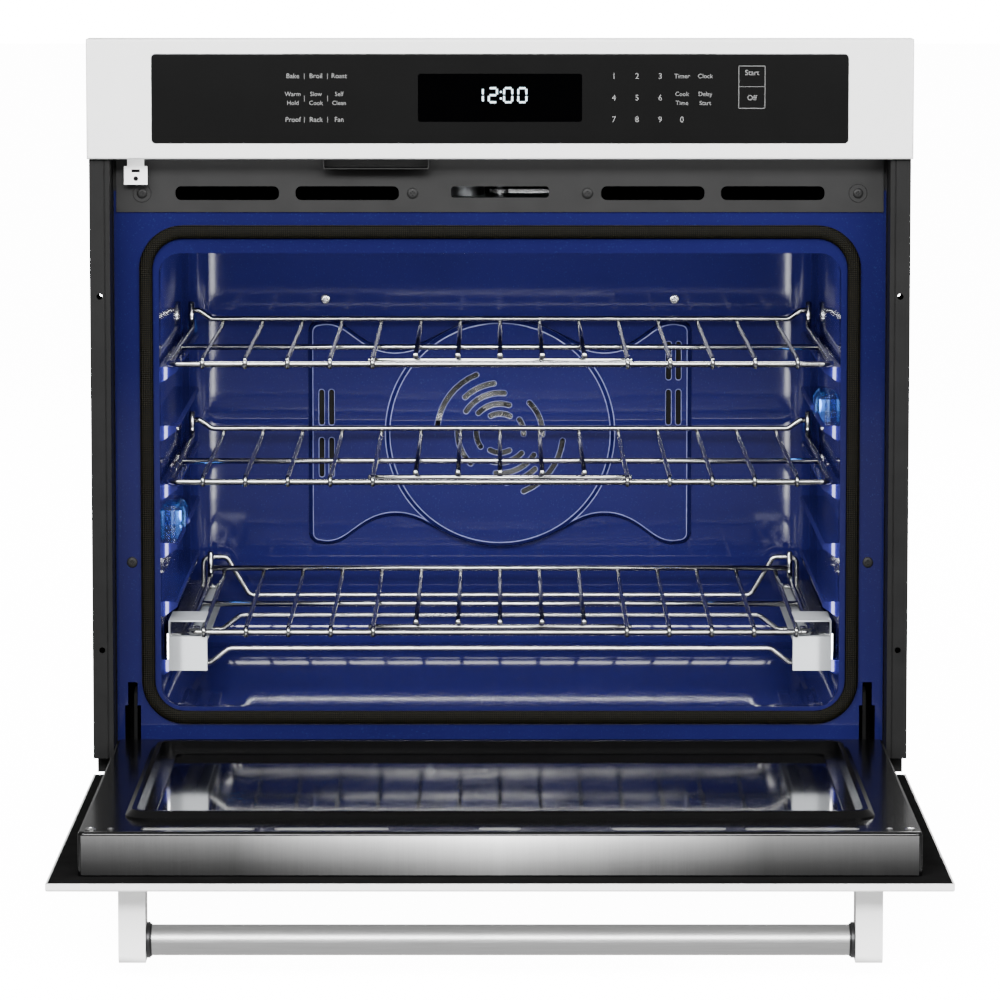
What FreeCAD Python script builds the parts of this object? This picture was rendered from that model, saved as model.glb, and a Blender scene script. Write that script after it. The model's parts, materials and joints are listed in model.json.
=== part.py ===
"""Built-in electric wall oven, 762 mm (30 inch) wide, drawn with its door open.

Millimetres. X to the right seen from the front, Y into the cabinet, Z up. The cabinet's face is Y = 0
and the floor of its cut-out is Z = 0. The door is drawn closed and then turned open about its hinge.
"""
import FreeCAD
import Part
import math
import os

V = FreeCAD.Vector

# ---- overall ----
FRONT_HALF_W = 381.0        # control panel, trims and door
PANEL_TOP = 718.0
PANEL_H = 110.4
FRONT_FACE = -44.0          # front of the control panel and of the closed door
TRIM_LOW = -19.0            # the bottom trim overlaps the cabinet below the cut-out
TRIM_TOP = 16.0
TRIM_FACE = -36.0
CASE_HALF_W = 356.0
CASE_H = 696.0
CASE_BACK = 600.0
SHEET = 1.2                 # galvanised case sheet
ENAMEL = 1.5                # enamelled cavity sheet
GAP = 0.5                   # clearance between neighbouring pieces

# ---- cavity ----
CAV_HALF_W = 318.0
CAV_FLOOR = 88.0
CAV_CEILING = 531.0
CAV_BACK = 468.0
CAV_CORNER = 26.0
PAN_DEPTH = 25.0            # depth of the drawn back panel
PAN_START = CAV_BACK - PAN_DEPTH
FRAME_Y = 6.0               # enamelled front frame
FRAME_HALF_W = 359.5
FRAME_TOP = 556.0
FRAME_LOW = 17.0
OPEN_HALF_W = 318.0
OPEN_LOW = 90.9
OPEN_TOP = 517.5
OPEN_CORNER = 20.0
LIP_DEPTH = 10.0
LEVELS = [134.6 + 55.5 * i for i in range(6)]   # heights of a rack rail's centre
RIB_TIP = 304.0
RIB_START = 32.0
RIB_END = 440.0

# ---- seal ----
SEAL_HALF_W = 337.0
SEAL_LOW = 73.9
SEAL_TOP = 544.5
SEAL_W = 14.0
SEAL_CORNER = 42.0
SEAL_FACE = 1.3

# ---- door, as closed ----
HINGE_Y = -24.0
HINGE_Z = 42.2
DOOR_LOW = 28.0
DOOR_TOP = 604.6
DOOR_SKIN = 6.8             # depth of the outer panel's folded edge
LINER_HALF_W = 356.5
LINER_LOW = 56.2
LINER_TOP = 569.6
LINER_BACK = 0.8            # face towards the cavity
LINER_FRONT = -37.0
RIDGE_HALF_W = 321.0        # pressed ridge round the inner window
RIDGE_LOW = 105.0
RIDGE_TOP = 509.0
RIDGE_H = 7.0
RIDGE_W = 10.0
RECESS_DEPTH = 2.0          # window seat below the liner's face
WINDOW_HALF_W = 297.0
WINDOW_LOW = 129.0
WINDOW_TOP = 485.0
HINGE_X = 345.0
HANDLE_Z = 544.6

# ---- vents and latch ----
SLOT_Z = 573.6
SLOT_H = 13.0
SLOTS_X = [(-302.0, -205.5), (-190.3, -94.0), (94.0, 190.3), (205.5, 302.0)]
LATCH_HALF_W = 45.5
LATCH_H = 10.8

# ---- racks ----
RAIL_X = 311.0
RAIL_R = 3.0
WIRE_R = 2.2
WIRE_PITCH = 39.85
RACK_FRONT = 25.0
RACK_BACK = 436.0
ROLL_RAIL_X = 293.0
ROLL_Z = 158.6

BROIL_Z = CAV_CEILING - 10.5  # grill element, hidden behind the opening's upper lip

# ---- fan ----
FAN_Z = 304.0
CHAMBER_R = 116.0
CHAMBER_DEPTH = 52.0
RING_R = 98.0


def box(x0, x1, y0, y1, z0, z1):
    return Part.makeBox(x1 - x0, y1 - y0, z1 - z0, V(x0, y0, z0))


def rod_x(x0, x1, y, z, r):
    return Part.makeCylinder(r, x1 - x0, V(x0, y, z), V(1, 0, 0))


def rod_y(x, y0, y1, z, r):
    return Part.makeCylinder(r, y1 - y0, V(x, y0, z), V(0, 1, 0))


def rod_z(x, y, z0, z1, r):
    return Part.makeCylinder(r, z1 - z0, V(x, y, z0), V(0, 0, 1))


def slab_xz(x0, x1, z0, z1, y0, y1, r):
    """A plate facing Y with rounded corners of radius r."""
    edges = []
    centres = [(x1 - r, z1 - r, 0), (x0 + r, z1 - r, 90), (x0 + r, z0 + r, 180), (x1 - r, z0 + r, 270)]
    ends = []
    for cx, cz, start in centres:
        a, m, b = [math.radians(start + d) for d in (0, 45, 90)]
        p, q, s = [V(cx + r * math.cos(t), y0, cz + r * math.sin(t)) for t in (a, m, b)]
        edges.append(Part.Arc(p, q, s).toShape())
        ends.append((p, s))
    for i in range(4):
        edges.append(Part.LineSegment(ends[i][1], ends[(i + 1) % 4][0]).toShape())
    wire = Part.Wire(Part.__sortEdges__(edges))
    return Part.Face(wire).extrude(V(0, y1 - y0, 0))


def tube(points, r, bend):
    """A round bar along points, its corners turned at radius bend."""
    pts = [V(*p) for p in points]
    edges = []
    last = pts[0]
    for i in range(1, len(pts) - 1):
        a, b, c = pts[i - 1], pts[i], pts[i + 1]
        u, w = (a - b).normalize(), (c - b).normalize()
        half = u.getAngle(w) / 2
        cut = bend / math.tan(half)
        p, q = b + u * cut, b + w * cut
        middle = (u + w).normalize()
        centre = b + middle * (bend / math.sin(half))
        edges.append(Part.LineSegment(last, p).toShape())
        edges.append(Part.Arc(p, centre - middle * bend, q).toShape())
        last = q
    edges.append(Part.LineSegment(last, pts[-1]).toShape())
    path = Part.Wire(edges)
    circle = Part.Wire(Part.makeCircle(r, pts[0], pts[1] - pts[0]))
    return path.makePipeShell([circle], True, False)


def fuse(shapes):
    """One solid or a group of them from pieces that meet."""
    return shapes[0].multiFuse(shapes[1:]).removeSplitter()


def cut(shape, tools):
    return shape.cut(Part.makeCompound(tools))


def mirrored(shape):
    return shape.mirror(V(0, 0, 0), V(1, 0, 0))


def both(shape):
    """The piece and its mirror image on the other side, as one group."""
    return Part.makeCompound([shape, mirrored(shape)])


def opened(shape):
    """Turns a door piece from closed to open."""
    out = shape.copy()
    out.rotate(V(0, HINGE_Y, HINGE_Z), V(1, 0, 0), 90)
    return out


def cylinder_y(x, y0, y1, z, r):
    return Part.makeCylinder(r, y1 - y0, V(x, y0, z), V(0, 1, 0))


def screw(x, y, z, r, head_h, shank_r, shank_l):
    """A pan-head screw with a crossed recess, head towards -Y; y is the seat of its head."""
    front = y - head_h
    head = cylinder_y(x, front, y, z, r)
    rim = [e for e in head.Edges if e.BoundBox.YLength < 1e-6 and abs(e.BoundBox.YMin - front) < 1e-6]
    head = head.makeFillet(head_h * 0.5, rim)
    long, thin = r * 0.5, r * 0.13
    cross = [box(x - long, x + long, front - 1, front + head_h / 2, z - thin, z + thin),
             box(x - thin, x + thin, front - 1, front + head_h / 2, z - long, z + long)]
    return cut(head.fuse(cylinder_y(x, y, y + shank_l, z, shank_r)), cross)


def front_rim(shape, y):
    """Edges of a shape that lie in the plane Y = y."""
    return [e for e in shape.Edges if e.BoundBox.YLength < 1e-6 and abs(e.BoundBox.YMin - y) < 1e-6]


# ---------------------------------------------------------------- case

def case_side():
    """Right side sheet of the case, with a row of louvre slots."""
    wall = box(CASE_HALF_W - SHEET, CASE_HALF_W, FRAME_Y + 2, CASE_BACK - SHEET - GAP, SHEET, CASE_H - SHEET)
    slots = [box(CASE_HALF_W - 5, CASE_HALF_W + 5, 380 + 24 * i, 390 + 24 * i, 590, 660) for i in range(7)]
    return cut(wall, slots)


def case_top():
    top = box(-CASE_HALF_W, CASE_HALF_W, FRAME_Y + 2, CASE_BACK, CASE_H - SHEET, CASE_H)
    vents = [box(-250 + 40 * i, -230 + 40 * i, 540, 585, CASE_H - 5, CASE_H + 5) for i in range(4)]
    return cut(top, vents)


def case_back():
    back = box(-CASE_HALF_W, CASE_HALF_W, CASE_BACK - SHEET, CASE_BACK, 0, CASE_H - SHEET)
    vents = [box(-150 + 25 * i, -138 + 25 * i, CASE_BACK - 5, CASE_BACK + 5, 60, 120) for i in range(13)]
    inlet = Part.makeCylinder(11.2, 10, V(250, CASE_BACK - 5, 640), V(0, 1, 0))
    return cut(back, vents + [inlet])


def case_base():
    return box(-CASE_HALF_W, CASE_HALF_W, -8, CASE_BACK - SHEET, 0, SHEET)


def side_trim():
    """Right front trim: a folded channel that laps over the cabinet's face."""
    inner = 360.5
    low, high = 48.0, PANEL_TOP - PANEL_H - GAP
    body = box(inner, 379.5, TRIM_FACE, 0, low, high)
    groove = box(inner + 4.0, inner + 5.4, TRIM_FACE - 1, TRIM_FACE + 1.5, low - 1, high + 1)
    hollow = box(inner + SHEET, 379.5 - SHEET, TRIM_FACE + 3, -1.5, low - 1, high + 1)
    lug = box(inner, inner + SHEET, -8.5, FRAME_Y + 6, 33, high)
    foot = box(inner, 377.5, -8.5, 0, 31, low + 1)
    stop = box(CASE_HALF_W + 0.4, inner + SHEET, FRAME_Y + 3.5, FRAME_Y + 6, low, high)
    body = fuse([cut(body, [groove, hollow]), lug, foot, stop])
    holes = []
    for z in (150.0, 480.0):
        holes.append(cylinder_y(370.5, -60, 10, z, 2.4))
        holes.append(cylinder_y(370.5, -60, -10, z, 2.8))
    return cut(body, holes)


def bottom_trim():
    """Bottom vent trim: a hollow bar with a row of air slots in its face, open to the case behind."""
    body = box(-FRONT_HALF_W, FRONT_HALF_W, TRIM_FACE, 0, TRIM_LOW, TRIM_TOP)
    body = body.makeFillet(2.0, front_rim(body, TRIM_FACE))
    hollow = box(-379.5, 379.5, TRIM_FACE + 1.5, -1.5, TRIM_LOW + 1.5, TRIM_TOP - 1.5)
    slots = [slab_xz(x - 24, x + 24, -4.0, 2.0, TRIM_FACE - 2, TRIM_FACE + 4, 2.9) for x in range(-324, 325, 72)]
    rear = box(-CASE_HALF_W - 1, CASE_HALF_W + 1, -3, 1, -4, TRIM_TOP - 3)
    return cut(body, [hollow, rear] + slots)


# ---------------------------------------------------------------- control panel

def control_panel():
    low = PANEL_TOP - PANEL_H
    body = box(-FRONT_HALF_W, FRONT_HALF_W, FRONT_FACE, 0, low, PANEL_TOP)
    front = [e for e in body.Edges if e.BoundBox.YLength < 1e-6 and abs(e.BoundBox.YMin - FRONT_FACE) < 1e-6]
    body = body.makeFillet(2.5, front)
    hollow = box(-FRONT_HALF_W + 1.5, FRONT_HALF_W - 1.5, FRONT_FACE + 2.4, 1, low + 1.5, PANEL_TOP - 1.5)
    window = slab_xz(-321, 321, PANEL_TOP - 96.1, PANEL_TOP - 13.4, FRONT_FACE - 1, FRONT_FACE + 5, 4)
    return cut(body, [hollow, window])


def control_glass():
    glass = slab_xz(-320.7, 320.7, PANEL_TOP - 95.8, PANEL_TOP - 13.7, FRONT_FACE - 0.6, FRONT_FACE + 3.4, 3.7)
    rim = [e for e in glass.Edges if e.BoundBox.YLength < 1e-6 and abs(e.BoundBox.YMin - (FRONT_FACE - 0.6)) < 1e-6]
    return glass.makeFillet(0.5, rim)


def display_module():
    """Display tube and its frame, behind the glass."""
    y = FRONT_FACE + 3.6
    return fuse([box(-78, 78, y, y + 6, 640, 688), box(-70, 70, y + 6, y + 9, 644, 684)])


def control_board():
    y = FRONT_FACE + 14
    parts = [box(-200, 200, y, y + 1.6, 618, 706)]
    for x, w, d, h in ((-150, 40, 18, 32), (-90, 22, 16, 20), (-60, 22, 16, 20), (110, 50, 22, 40), (165, 18, 14, 18)):
        parts.append(box(x - w / 2, x + w / 2, y + 1.6, y + 1.6 + d, 655 - h / 2, 655 + h / 2))
    posts = [Part.makeCylinder(3, 5, V(x, y - 5, z), V(0, 1, 0)) for x in (-190, 190) for z in (626, 698)]
    return fuse(parts + posts)


def panel_tab():
    """Small steel tab under the panel's left end, with a slot and a round hole."""
    y0, y1 = -12.0, -10.8
    plate = fuse([box(-348.5, -327, y0, y1, 582.5, 599.5), box(-345.5, -330, y0, y1, 599.4, 607.4)])
    slot = box(-341.7, -333.8, y0 - 1, y1 + 1, 593.8, 596.6)
    hole = Part.makeCylinder(2.3, 5, V(-337.7, y0 - 1, 588), V(0, 1, 0))
    return cut(plate, [slot, hole])


def tag_holder():
    """Flat steel pocket under the panel that holds the rating plate."""
    outer = slab_xz(-163.5, -65.8, 597.5, 607.4, -24, 2, 1.5)
    inner = slab_xz(-162.7, -66.6, 598.3, 606.6, -25, 0.5, 1.2)
    return outer.cut(inner)


# ---------------------------------------------------------------- fascia above the cavity

def vent_fascia():
    y0, y1 = FRAME_Y - 1.5, FRAME_Y - 0.3
    low = FRAME_TOP
    plate = box(-357, 357, y0, y1, low, 640)
    holes = [slab_xz(a, b, SLOT_Z - SLOT_H / 2, SLOT_Z + SLOT_H / 2, 0, 10, 5.5) for a, b in SLOTS_X]
    holes.append(slab_xz(-LATCH_HALF_W, LATCH_HALF_W, SLOT_Z - 4.4, SLOT_Z + 6.4, 0, 10, 3.0))
    for x in (-333.0, -81.3, 81.3, 333.0):
        holes.append(Part.makeCylinder(2.2, 12, V(x, 0, SLOT_Z), V(0, 1, 0)))
    return cut(plate, holes)


def fascia_screws():
    y = FRAME_Y - 1.6
    screws = [screw(x, y, SLOT_Z, 5.2, 2.0, 2.0, 12) for x in (-81.3, 81.3)]
    for x in (-333.0, 333.0):
        screws.append(fuse([cylinder_y(x, y - 1, y, SLOT_Z, 8.6), screw(x, y - 1, SLOT_Z, 4.6, 1.8, 2.0, 12)]))
    for x in (-344.7, 344.7):
        screws.append(screw(x, FRAME_Y - 0.1, 227.5, 5.0, 2.0, 2.0, 14))
    return screws


def air_duct():
    """Sheet floor of the cooling-air duct, above the insulation."""
    deck = box(-350, 350, FRAME_Y + 2.5, 560, 561, 562.2)
    front = box(-350, 350, FRAME_Y + 2.5, FRAME_Y + 3.7, 557, 561.5)
    return fuse([deck, front])


# ---------------------------------------------------------------- cavity

def cavity_tube(y0, y1, grow):
    return slab_xz(-CAV_HALF_W - grow, CAV_HALF_W + grow, CAV_FLOOR - grow, CAV_CEILING + grow, y0, y1, CAV_CORNER + grow)


def cavity_shell():
    y0 = FRAME_Y + LIP_DEPTH + 0.1
    return cavity_tube(y0, PAN_START - 0.1, ENAMEL).cut(cavity_tube(y0 - 1, PAN_START + 1, 0))


def cavity_floor():
    return cavity_shell().common(box(-400, 400, 0, 500, 0, CAV_FLOOR + CAV_CORNER))


def cavity_ceiling():
    return cavity_shell().common(box(-400, 400, 0, 500, CAV_CEILING - CAV_CORNER, 600))


def lamp_hole(y, z, grow):
    return box(CAV_HALF_W - 20, CAV_HALF_W + 12, y - 34 - grow, y + 34 + grow, z - 15.5 - grow, z + 15.5 + grow)


def cavity_side(lamp_y, lamp_z):
    """Right side wall with a rack rib at each level and a hole for the lamp."""
    wall = cavity_shell().common(box(0, 400, 0, 500, CAV_FLOOR + CAV_CORNER, CAV_CEILING - CAV_CORNER))
    ribs = []
    for level in LEVELS:
        top = level - RAIL_R - 0.3
        outline = [(CAV_HALF_W + 0.5, top), (RIB_TIP + 2, top), (RIB_TIP, top - 2), (RIB_TIP, top - 5),
                   (CAV_HALF_W + 0.5, top - 15)]
        points = [V(x, RIB_START, z) for x, z in outline]
        rib = Part.Face(Part.makePolygon(points + points[:1])).extrude(V(0, RIB_END - RIB_START, 0))
        ribs.append(rib)
    return cut(fuse([wall] + ribs), [lamp_hole(lamp_y, lamp_z, 0)])


def cavity_back():
    """Drawn back panel with rounded edges and a round hole for the fan chamber."""
    outer = cavity_tube(PAN_START, CAV_BACK + ENAMEL, ENAMEL)
    rim = [e for e in outer.Edges if e.BoundBox.YLength < 1e-6 and abs(e.BoundBox.YMin - (CAV_BACK + ENAMEL)) < 1e-6]
    outer = outer.makeFillet(PAN_DEPTH - 1.0, rim)
    inner = cavity_tube(PAN_START - 10, CAV_BACK, 0)
    rim = [e for e in inner.Edges if e.BoundBox.YLength < 1e-6 and abs(e.BoundBox.YMin - CAV_BACK) < 1e-6]
    inner = inner.makeFillet(PAN_DEPTH - 2.5, rim)
    hole = Part.makeCylinder(CHAMBER_R - 4, 40, V(0, PAN_START, FAN_Z), V(0, 1, 0))
    screws = [Part.makeCylinder(2.2, 40, V(x, PAN_START, 439.5), V(0, 1, 0)) for x in (-177.0, 177.0)]
    probe = cylinder_y(210, PAN_START, 500, 500, 3.2)
    legs = [cylinder_y(x, PAN_START, 500, BROIL_Z, 3.6) for x in (-40, 40)]
    return cut(outer.cut(inner), [hole, probe] + screws + legs)


def cavity_frame():
    """Enamelled front frame: face, opening with a lip turned inwards, and hinge slots."""
    plate = box(-FRAME_HALF_W, FRAME_HALF_W, FRAME_Y, FRAME_Y + ENAMEL, FRAME_LOW, FRAME_TOP + 20)
    lip = slab_xz(-OPEN_HALF_W - ENAMEL, OPEN_HALF_W + ENAMEL, OPEN_LOW - ENAMEL, OPEN_TOP + ENAMEL,
                  FRAME_Y, FRAME_Y + LIP_DEPTH, OPEN_CORNER + ENAMEL)
    step = cavity_tube(FRAME_Y + LIP_DEPTH - ENAMEL, FRAME_Y + LIP_DEPTH, ENAMEL)
    plate = fuse([plate, lip, step]).cut(slab_xz(-OPEN_HALF_W, OPEN_HALF_W, OPEN_LOW, OPEN_TOP, 0, 20, OPEN_CORNER))
    slots = []
    for x in (-HINGE_X, HINGE_X):
        slots.append(box(x - 7.5, x + 7.5, 0, 20, 36, 92))
        slots.append(box(x - 4.5, x + 4.5, 0, 20, 91, 114))
        slots.append(Part.makeCylinder(2.2, 20, V(x * 344.7 / HINGE_X, 0, 227.5), V(0, 1, 0)))
    for x in (-333.0, -81.3, 81.3, 333.0):
        slots.append(Part.makeCylinder(2.2, 20, V(x, 0, SLOT_Z), V(0, 1, 0)))
    for a, b in SLOTS_X:
        slots.append(slab_xz(a - 2, b + 2, SLOT_Z - 9, SLOT_Z + 9, 0, 20, 6))
    slots.append(box(-LATCH_HALF_W - 6, LATCH_HALF_W + 6, 0, 20, SLOT_Z - 8, FRAME_TOP + 21))
    return cut(plate, slots)


def door_seal():
    outer = slab_xz(-SEAL_HALF_W, SEAL_HALF_W, SEAL_LOW, SEAL_TOP, SEAL_FACE, FRAME_Y, SEAL_CORNER)
    inner = slab_xz(-SEAL_HALF_W + SEAL_W, SEAL_HALF_W - SEAL_W, SEAL_LOW + SEAL_W, SEAL_TOP - SEAL_W, 0, 12,
                    SEAL_CORNER - SEAL_W)
    ring = outer.cut(inner)
    front = [e for e in ring.Edges if e.BoundBox.YLength < 1e-6 and abs(e.BoundBox.YMin - SEAL_FACE) < 1e-6]
    return ring.makeFillet(2.6, front)


# ---------------------------------------------------------------- fan, elements, lamps

def fan_chamber():
    y0 = CAV_BACK + ENAMEL
    outer = Part.makeCylinder(CHAMBER_R, CHAMBER_DEPTH, V(0, y0, FAN_Z), V(0, 1, 0))
    inner = Part.makeCylinder(CHAMBER_R - 1.2, CHAMBER_DEPTH, V(0, y0 - 1.2, FAN_Z), V(0, 1, 0))
    shaft = Part.makeCylinder(9, 20, V(0, y0 + CHAMBER_DEPTH - 10, FAN_Z), V(0, 1, 0))
    terminals = [cylinder_y(x, y0 + 40, y0 + 60, FAN_Z - math.sqrt(RING_R ** 2 - 16 ** 2), 4.2) for x in (-16, 16)]
    return cut(outer, [inner, shaft] + terminals)


def cover_wire(grow, y):
    """Outline of the fan cover at depth y: a square-ended shape waisted on each side of a disc."""
    crest = [(-183, 114.6), (-164, 113), (-143, 99), (-118, 87.5), (-92, 88), (-62, 101), (0, 117.5)]
    crest = crest + [(-x, z) for x, z in reversed(crest[:-1])]
    side = 195.0 + grow
    edges = []
    for sign in (1, -1):
        curve = Part.BSplineCurve()
        curve.interpolate([V(x, y, FAN_Z + sign * (z + grow)) for x, z in crest])
        edges.append(curve.toShape())
        top = FAN_Z + sign * (114.6 + grow)
        for end in (-1, 1):
            start = V(end * 183, y, top)
            finish = V(end * side, y, top - sign * (side - 183))
            bulge = V(end * (183 + (side - 183) * 0.707), y, top - sign * (side - 183) * 0.293)
            edges.append(Part.Arc(start, bulge, finish).toShape())
    for end in (-1, 1):
        half = 114.6 + grow - (side - 183)
        edges.append(Part.LineSegment(V(end * side, y, FAN_Z - half), V(end * side, y, FAN_Z + half)).toShape())
    return Part.Wire(Part.__sortEdges__(edges))


def disc_wire(r, y):
    return Part.Wire(Part.makeCircle(r, V(0, y, FAN_Z), V(0, 1, 0)))


def arc_slot(r, start, end, width, y0, y1):
    """A curved slot about the fan's axis between two angles, with round ends."""
    steps = 8
    pieces = []
    spots = []
    for i in range(steps + 1):
        t = math.radians(start + (end - start) * i / steps)
        spots.append(V(r * math.cos(t), y0, FAN_Z + r * math.sin(t)))
    for a, b in zip(spots, spots[1:]):
        across = (b - a).cross(V(0, 1, 0)).normalize() * (width / 2)
        corners = [a + across, b + across, b - across, a - across, a + across]
        pieces.append(Part.Face(Part.makePolygon(corners)).extrude(V(0, y1 - y0, 0)))
    pieces += [cylinder_y(p.x, y0, y1, p.z, width / 2) for p in spots]
    return fuse(pieces)


def fan_cover():
    """Cover over the fan: a waisted raised plate with a further raised disc, swirled slots and side slots."""
    foot, face, crown = CAV_BACK - 0.3, CAV_BACK - 7.0, CAV_BACK - 11.0
    outer = fuse([Part.makeLoft([cover_wire(0, foot), cover_wire(-5, face)], True, True),
                  Part.makeLoft([disc_wire(117, face + 0.5), disc_wire(112, crown)], True, True)])
    inner = fuse([Part.makeLoft([cover_wire(-1.6, foot + 0.1), cover_wire(-6.5, face + 1.4)], True, True),
                  Part.makeLoft([disc_wire(115.4, face + 1.9), disc_wire(110.4, crown + 1.4)], True, True)])
    slots = []
    for turn in (0, 180):
        for r, a, b in ((64, 112, 173), (51, 97, 134), (41, 84, 147), (30, 72, 137), (20, 60, 118),
                        (43, 178, 226), (24, 178, 215)):
            slots.append(arc_slot(r, a + turn, b + turn, 5.0, crown - 2, crown + 5))
    for x in (171, 181):
        for side, ranges in ((-1, ((8, 44), (-45, -5))), (1, ((54, 93), (8, 44)))):
            for low, high in ranges:
                slots.append(slab_xz(side * x - 2.6, side * x + 2.6, FAN_Z + low, FAN_Z + high, face - 2, face + 5, 2.5))
    return cut(outer.cut(inner), slots)


def back_screws():
    return [screw(x, CAV_BACK - 0.1, 439.5, 5.0, 2.0, 2.0, 12) for x in (-177.0, 177.0)]


def ring_element():
    """Round heating element in the fan chamber, with two legs out through the chamber's back."""
    y = CAV_BACK + 24
    r = RING_R
    gap = math.asin(16 / r)
    a, b = -math.pi / 2 + gap, 1.5 * math.pi - gap
    arc = Part.Arc(V(r * math.cos(a), y, FAN_Z + r * math.sin(a)), V(0, y, FAN_Z + r),
                   V(r * math.cos(b), y, FAN_Z + r * math.sin(b)))
    path = Part.Wire([arc.toShape()])
    ring = path.makePipeShell([Part.Wire(Part.makeCircle(3.5, arc.StartPoint, arc.tangent(arc.FirstParameter)[0]))], True, False)
    ends = [arc.StartPoint, arc.EndPoint]
    legs = [cylinder_y(p.x, y - 4, CAV_BACK + CHAMBER_DEPTH + 12, p.z, 3.5) for p in ends]
    balls = [Part.makeSphere(4.0, p) for p in ends]
    return fuse([ring] + legs + balls)


def convection_fan():
    """Fan wheel: hub disc with eight radial blades and a bored boss on the motor's shaft."""
    y0 = CAV_BACK + 12
    plate = cylinder_y(0, y0 + 26, y0 + 27.5, FAN_Z, 74)
    boss = cylinder_y(0, y0 + 6, y0 + 27, FAN_Z, 9)
    blades = []
    for i in range(8):
        blade = box(-0.8, 0.8, y0, y0 + 26.2, FAN_Z + 8, FAN_Z + 74)
        blade.rotate(V(0, 0, FAN_Z), V(0, 1, 0), 45 * i + 10)
        blades.append(blade)
    return fuse([plate, boss] + blades).cut(cylinder_y(0, y0 - 5, y0 + 40, FAN_Z, 4.05))


def convection_motor():
    y0 = CAV_BACK + ENAMEL + CHAMBER_DEPTH
    shaft = cylinder_y(0, CAV_BACK + 14, y0 + 10, FAN_Z, 4.0)
    collar = cylinder_y(0, y0 + 0.3, y0 + 10, FAN_Z, 16)
    body = cylinder_y(0, y0 + 9, y0 + 58, FAN_Z, 34)
    core = box(-42, 42, y0 + 18, y0 + 40, FAN_Z - 30, FAN_Z + 30)
    return fuse([shaft, collar, body, core])


def broil_element():
    """Grill element: a bar folded into six runs under the ceiling, its legs out through the back panel."""
    z = BROIL_Z
    near, far = 70.0, 400.0
    points = [(-40, CAV_BACK + 30, z), (-40, near + 40, z), (-120, near + 40, z), (-120, far, z), (-200, far, z),
              (-200, near, z), (200, near, z), (200, far, z), (120, far, z), (120, near + 40, z),
              (40, near + 40, z), (40, CAV_BACK + 30, z)]
    return tube(points, 3.3, 24)


def bake_element():
    """Hidden bottom element under the cavity floor."""
    z = 76.0
    points = [(-60, 520, z), (-60, 430, z), (-220, 430, z), (-220, 90, z), (-100, 90, z), (-100, 360, z),
              (100, 360, z), (100, 90, z), (220, 90, z), (220, 430, z), (60, 430, z), (60, 520, z)]
    return tube(points, 4.0, 26)


def temperature_probe():
    rod = cylinder_y(210, 400, CAV_BACK + 30, 500, 3.0)
    tip = Part.makeSphere(3.0, V(210, 400, 500))
    plate = box(198, 222, CAV_BACK + ENAMEL + 0.3, CAV_BACK + 3, 490, 510)
    return fuse([rod, tip, plate])


def lamp_housing(y, z):
    """Box behind the right wall that holds a lamp; open towards the cavity."""
    x0 = CAV_HALF_W + ENAMEL + 0.3
    shell = box(x0, x0 + 26, y - 38, y + 38, z - 20, z + 20)
    shell = shell.cut(box(x0 - 1, x0 + 24.8, y - 36.8, y + 36.8, z - 18.8, z + 18.8))
    return shell.fuse(box(x0 + 14, x0 + 25, y - 37, y - 24, z - 6, z + 6))


def lamp_bulb(y, z):
    x = CAV_HALF_W + ENAMEL + 12
    glass = Part.makeCylinder(6.0, 34, V(x, y - 12, z), V(0, 1, 0))
    base = Part.makeCylinder(4.0, 12, V(x, y - 23.7, z), V(0, 1, 0))
    return fuse([glass, base, Part.makeSphere(6.0, V(x, y + 22, z))])


def lamp_lens(y, z):
    """Domed glass over the lamp, proud of the wall."""
    x1 = CAV_HALF_W + 1.2
    x0 = CAV_HALF_W - 12.5
    block = box(x0, x1, y - 33.5, y + 33.5, z - 15, z + 15)
    rim = [e for e in block.Edges if e.BoundBox.XLength < 1e-6 and abs(e.BoundBox.XMin - x0) < 1e-6]
    block = block.makeFillet(9.0, rim)
    return block.cut(box(x0 + 4, x1 + 1, y - 28, y + 28, z - 10, z + 10))


# ---------------------------------------------------------------- insulation

def insulation_side(lamp_y, lamp_z):
    slab = box(CAV_HALF_W + ENAMEL + 0.3, CASE_HALF_W - SHEET - 2, 20, 560, 60, 556)
    return cut(slab, [lamp_hole(lamp_y, lamp_z, 6).translated(V(12, 0, 0)),
                      box(CAV_HALF_W, 400, lamp_y - 40, lamp_y + 40, lamp_z - 22, lamp_z + 22),
                      box(HINGE_X - 12, HINGE_X + 12, 0, 82, 0, 124)])


def insulation_top():
    return box(-CAV_HALF_W, CAV_HALF_W, 28, 520, CAV_CEILING + ENAMEL + 0.3, 556)


def insulation_bottom():
    return box(-CAV_HALF_W, CAV_HALF_W, 28, 540, 24, 61)


def insulation_back():
    slab = box(-CAV_HALF_W, CAV_HALF_W, CAV_BACK + 3.4, 518, CAV_FLOOR + 6, CAV_CEILING - 1)
    holes = [cylinder_y(0, 400, 600, FAN_Z, CHAMBER_R + 2), cylinder_y(210, 400, 600, 500, 5)]
    holes += [cylinder_y(x, 400, 600, BROIL_Z, 6) for x in (-40, 40)]
    holes += [cylinder_y(x, 400, 600, 439.5, 4) for x in (-177, 177)]
    return cut(slab, holes)


# ---------------------------------------------------------------- latch, hinges, cooling fan

def latch_plate():
    plate = box(-70, 70, 20, 110, 566, 567.5)
    motor = Part.makeCylinder(22, 26, V(-36, 84, 567))
    post = Part.makeCylinder(4.0, 15, V(0, 60, 567))
    return fuse([plate, motor, post])


def latch_hook():
    arm = fuse([box(-4, 56, 54, 66, 571, 574.5), Part.makeCylinder(10, 3.5, V(0, 60, 571)),
                box(48, 60, 54, 76, 571, 574.5)])
    return arm.cut(Part.makeCylinder(4.05, 10, V(0, 60, 568)))


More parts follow.
